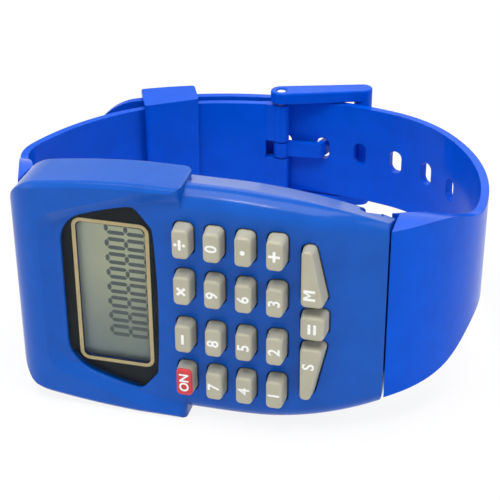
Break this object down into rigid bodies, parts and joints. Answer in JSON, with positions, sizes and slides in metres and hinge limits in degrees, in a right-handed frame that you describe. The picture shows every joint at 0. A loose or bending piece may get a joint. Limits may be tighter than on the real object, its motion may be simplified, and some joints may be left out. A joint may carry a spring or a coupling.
{
  "type": "calculator watch",
  "caption": "Calculator wristwatch with a hooded display, a keypad of sprung keys and a holed strap closed by a tang buckle and a sliding keeper.",
  "frame": {"origin": "middle of the back cover's outer face, where the case rests on the wrist", "axes": "+X from the 12 o'clock end of the case to the 6 o'clock end, +Y from the dial into the wrist loop, +Z to the 3 o'clock side"},
  "size_m": [0.0769, 0.0645, 0.0398],
  "materials": {
    "case_blue": "gloss",
    "strap_blue": "gloss, soft",
    "window_clear": "polished",
    "mask_black": "satin print",
    "lcd_glass": "polished",
    "reflector_foil": "brushed",
    "connector_rubber": "matte",
    "frame_white": "satin",
    "board_laminate": "satin lacquer",
    "mat_rubber": "matte",
    "chip_resin": "gloss",
    "steel": "satin",
    "cell_steel": "polished",
    "contact_steel": "satin",
    "key_grey": "satin",
    "key_red": "satin, with a red patch"
  },
  "bodies": {
    "case": {"front_case": "case_blue", "back_cover": "case_blue", "display_window": "window_clear", "window_mask": "mask_black", "lcd_panel": "lcd_glass", "lcd_reflector": "reflector_foil", "lcd_connector_strip": "connector_rubber", "inner_frame": "frame_white", "circuit_board": "board_laminate", "keypad_mat": "mat_rubber", "chip_blob": "chip_resin", "quartz_crystal": "steel", "button_cell": "cell_steel", "battery_contact_negative": "contact_steel", "battery_contact_positive": "contact_steel", "back_cover_screws": "steel", "strap_pin_6": "steel", "strap_pin_12": "steel", "buckle_pin": "steel", "strap_long": "strap_blue", "strap_short": "strap_blue"},
    "buckle_frame": {"buckle_frame": "strap_blue"},
    "buckle_tang": {"buckle_tang": "strap_blue"},
    "keeper_loop": {"keeper_loop": "strap_blue"},
    "key_0": {"key_0": "key_grey"},
    "key_1": {"key_1": "key_grey"},
    "key_2": {"key_2": "key_grey"},
    "key_3": {"key_3": "key_grey"},
    "key_4": {"key_4": "key_grey"},
    "key_5": {"key_5": "key_grey"},
    "key_6": {"key_6": "key_grey"},
    "key_7": {"key_7": "key_grey"},
    "key_8": {"key_8": "key_grey"},
    "key_9": {"key_9": "key_grey"},
    "key_divide": {"key_divide": "key_grey"},
    "key_equals": {"key_equals": "key_grey"},
    "key_m": {"key_m": "key_grey"},
    "key_minus": {"key_minus": "key_grey"},
    "key_on": {"key_on": "key_red"},
    "key_plus": {"key_plus": "key_grey"},
    "key_point": {"key_point": "key_grey"},
    "key_s": {"key_s": "key_grey"},
    "key_times": {"key_times": "key_grey"}
  },
  "joints": [
    {"name": "key_on_press", "type": "slide", "parent": "case", "child": "key_on", "axis": [0, 1, 0], "range_m": [0, 0.0006], "stiffness_N_per_m": 700, "springref_m": -0.0002},
    {"name": "key_minus_press", "type": "slide", "parent": "case", "child": "key_minus", "axis": [0, 1, 0], "range_m": [0, 0.0006], "stiffness_N_per_m": 700, "springref_m": -0.0002},
    {"name": "key_times_press", "type": "slide", "parent": "case", "child": "key_times", "axis": [0, 1, 0], "range_m": [0, 0.0006], "stiffness_N_per_m": 700, "springref_m": -0.0002},
    {"name": "key_divide_press", "type": "slide", "parent": "case", "child": "key_divide", "axis": [0, 1, 0], "range_m": [0, 0.0006], "stiffness_N_per_m": 700, "springref_m": -0.0002},
    {"name": "key_7_press", "type": "slide", "parent": "case", "child": "key_7", "axis": [0, 1, 0], "range_m": [0, 0.0006], "stiffness_N_per_m": 700, "springref_m": -0.0002},
    {"name": "key_8_press", "type": "slide", "parent": "case", "child": "key_8", "axis": [0, 1, 0], "range_m": [0, 0.0006], "stiffness_N_per_m": 700, "springref_m": -0.0002},
    {"name": "key_9_press", "type": "slide", "parent": "case", "child": "key_9", "axis": [0, 1, 0], "range_m": [0, 0.0006], "stiffness_N_per_m": 700, "springref_m": -0.0002},
    {"name": "key_0_press", "type": "slide", "parent": "case", "child": "key_0", "axis": [0, 1, 0], "range_m": [0, 0.0006], "stiffness_N_per_m": 700, "springref_m": -0.0002},
    {"name": "key_4_press", "type": "slide", "parent": "case", "child": "key_4", "axis": [0, 1, 0], "range_m": [0, 0.0006], "stiffness_N_per_m": 700, "springref_m": -0.0002},
    {"name": "key_5_press", "type": "slide", "parent": "case", "child": "key_5", "axis": [0, 1, 0], "range_m": [0, 0.0006], "stiffness_N_per_m": 700, "springref_m": -0.0002},
    {"name": "key_6_press", "type": "slide", "parent": "case", "child": "key_6", "axis": [0, 1, 0], "range_m": [0, 0.0006], "stiffness_N_per_m": 700, "springref_m": -0.0002},
    {"name": "key_point_press", "type": "slide", "parent": "case", "child": "key_point", "axis": [0, 1, 0], "range_m": [0, 0.0006], "stiffness_N_per_m": 700, "springref_m": -0.0002},
    {"name": "key_1_press", "type": "slide", "parent": "case", "child": "key_1", "axis": [0, 1, 0], "range_m": [0, 0.0006], "stiffness_N_per_m": 700, "springref_m": -0.0002},
    {"name": "key_2_press", "type": "slide", "parent": "case", "child": "key_2", "axis": [0, 1, 0], "range_m": [0, 0.0006], "stiffness_N_per_m": 700, "springref_m": -0.0002},
    {"name": "key_3_press", "type": "slide", "parent": "case", "child": "key_3", "axis": [0, 1, 0], "range_m": [0, 0.0006], "stiffness_N_per_m": 700, "springref_m": -0.0002},
    {"name": "key_plus_press", "type": "slide", "parent": "case", "child": "key_plus", "axis": [0, 1, 0], "range_m": [0, 0.0006], "stiffness_N_per_m": 700, "springref_m": -0.0002},
    {"name": "key_equals_press", "type": "slide", "parent": "case", "child": "key_equals", "axis": [0, 1, 0], "range_m": [0, 0.0006], "stiffness_N_per_m": 700, "springref_m": -0.0002},
    {"name": "key_m_press", "type": "slide", "parent": "case", "child": "key_m", "axis": [0, 1, 0], "range_m": [0, 0.0006], "stiffness_N_per_m": 700, "springref_m": -0.0002},
    {"name": "key_s_press", "type": "slide", "parent": "case", "child": "key_s", "axis": [0, 1, 0], "range_m": [0, 0.0006], "stiffness_N_per_m": 700, "springref_m": -0.0002},
    {"name": "buckle_hinge", "type": "hinge", "parent": "case", "child": "buckle_frame", "pos_m": [0.001, 0.04559, 0], "axis": [0, 0, 1], "range_deg": [0, 2.2]},
    {"name": "tang_hinge", "type": "hinge", "parent": "buckle_frame", "child": "buckle_tang", "pos_m": [0.001, 0.04559, 0], "axis": [0, 0, 1], "range_deg": [0, 1.8]},
    {"name": "keeper_slide", "type": "hinge", "parent": "case", "child": "keeper_loop", "pos_m": [0.00483, -0.01168, 0], "axis": [0, 0, -1], "range_deg": [0, 9]}
  ]
}
